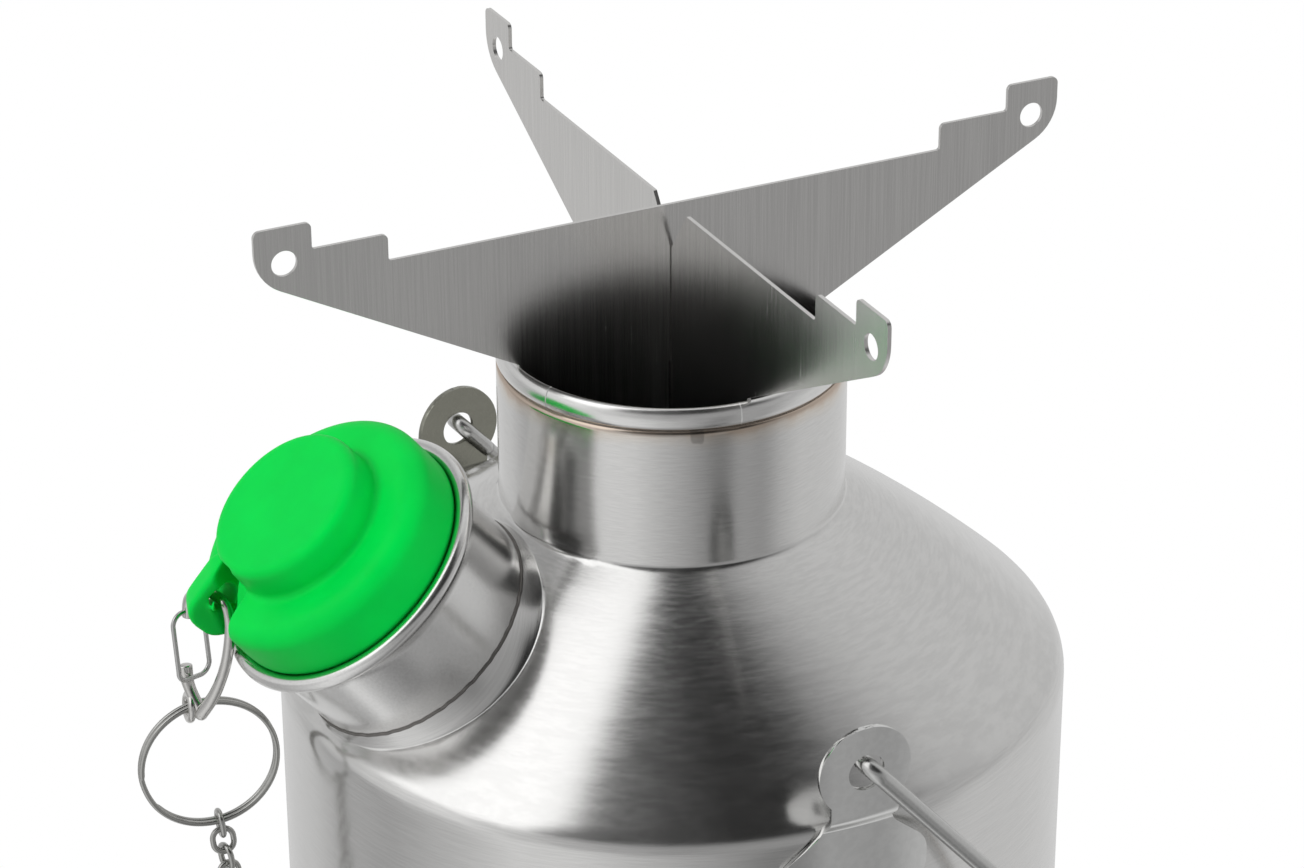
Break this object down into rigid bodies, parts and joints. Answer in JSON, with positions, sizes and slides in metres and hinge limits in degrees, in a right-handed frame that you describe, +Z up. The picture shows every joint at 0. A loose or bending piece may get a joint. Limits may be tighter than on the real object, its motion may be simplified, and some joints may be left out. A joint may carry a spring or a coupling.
{
  "type": "storm kettle",
  "caption": "Storm kettle: a double-walled water jacket round a chimney on a fire bowl, with a tilted spout and chained whistle stopper, folding bail with wooden grip, and crossed pot support plates.",
  "frame": {"origin": "on the ground under the middle of the chimney, in metres", "axes": "+Z up along the chimney, the spout leans towards -X, the bail turns about an axis along Y"},
  "size_m": [0.188, 0.1676, 0.269],
  "materials": {
    "polished_steel": "polished stainless sheet with faint turning marks, matt inside",
    "bowl_steel": "spun stainless sheet, satin",
    "brushed_plate": "stainless sheet brushed along one direction, sheared edges",
    "wire_steel": "drawn stainless wire, bright",
    "bright_cast": "cast and tumbled, bright",
    "turned_wood": "turned light hardwood, thin clear oil",
    "green_rubber": "moulded food-grade silicone, satin"
  },
  "bodies": {
    "fire_bowl": {"fire_bowl": "bowl_steel"},
    "kettle": {"shell_wall": "polished_steel", "shell_shoulder": "polished_steel", "shell_neck": "polished_steel", "chimney_cone": "polished_steel", "chimney_tube": "polished_steel", "bottom_seam": "polished_steel", "spout": "polished_steel", "ear_near": "polished_steel", "ear_far": "polished_steel", "chain_bracket": "wire_steel", "bracket_rivets": "wire_steel"},
    "bail": {"bail": "wire_steel"},
    "grip": {"grip": "turned_wood"},
    "pot_lower": {"pot_plate_lower": "brushed_plate"},
    "pot_upper": {"pot_plate_upper": "brushed_plate"},
    "stopper": {"stopper": "green_rubber", "whistle_plates": "wire_steel", "whistle_spacer": "wire_steel"},
    "clip": {"clip": "bright_cast"},
    "gate": {"clip_gate": "wire_steel"},
    "ring": {"split_ring": "wire_steel"},
    "chain_upper": {"chain_upper": "wire_steel"},
    "chain_lower": {"chain_lower": "wire_steel"}
  },
  "joints": [
    {"name": "kettle_lift", "type": "slide", "parent": "fire_bowl", "child": "kettle", "axis": [0, 0, 1], "range_m": [0, 0.06]},
    {"name": "bail_swing", "type": "hinge", "parent": "kettle", "child": "bail", "pos_m": [-0.0053, 0, 0.1879], "axis": [0, -1, 0], "range_deg": [0, 165]},
    {"name": "grip_spin", "type": "hinge", "parent": "bail", "child": "grip", "pos_m": [0.0803, 0, 0.09006], "axis": [0, 1, 0], "continuous": true},
    {"name": "pot_lower_lift", "type": "slide", "parent": "kettle", "child": "pot_lower", "axis": [0, 0, 1], "range_m": [0, 0.04]},
    {"name": "pot_upper_lift", "type": "slide", "parent": "pot_lower", "child": "pot_upper", "axis": [0, 0, 1], "range_m": [0, 0.04]},
    {"name": "stopper_pull", "type": "slide", "parent": "kettle", "child": "stopper", "axis": [-0.6252, 0, 0.7804], "range_m": [0, 0.015]},
    {"name": "clip_hang", "type": "hinge", "parent": "stopper", "child": "clip", "pos_m": [-0.08359, 0.00822, 0.20184], "axis": [0.342, -0.9397, 0], "range_deg": [0, 9.6]},
    {"name": "gate_open", "type": "hinge", "parent": "clip", "child": "gate", "pos_m": [-0.08644, 0.01452, 0.19757], "axis": [-0.9327, -0.3395, 0.1219], "range_deg": [0, 25], "stiffness_Nm_per_rad": 0.002, "springref_deg": -5.73},
    {"name": "ring_hang", "type": "hinge", "parent": "clip", "child": "ring", "pos_m": [-0.08813, 0.01284, 0.18], "axis": [0.9848, -0.1736, 0], "range_deg": [-12.6, 0]},
    {"name": "chain_upper_hang", "type": "hinge", "parent": "ring", "child": "chain_upper", "pos_m": [-0.08403, 0.01212, 0.15642], "axis": [0.9371, 0.3492, 0], "range_deg": [0, 13.6]},
    {"name": "chain_lower_hang", "type": "hinge", "parent": "chain_upper", "child": "chain_lower", "pos_m": [-0.07253, -0.01876, 0.07864], "axis": [0.9371, 0.3492, 0], "range_deg": [0, 32]}
  ],
  "couplings": [
    {"joint": "clip_hang", "follows": "stopper_pull", "rad_per_m": 10.987},
    {"joint": "ring_hang", "follows": "stopper_pull", "rad_per_m": -14.522},
    {"joint": "chain_upper_hang", "follows": "stopper_pull", "rad_per_m": 15.644},
    {"joint": "chain_lower_hang", "follows": "stopper_pull", "rad_per_m": 36.848}
  ]
}
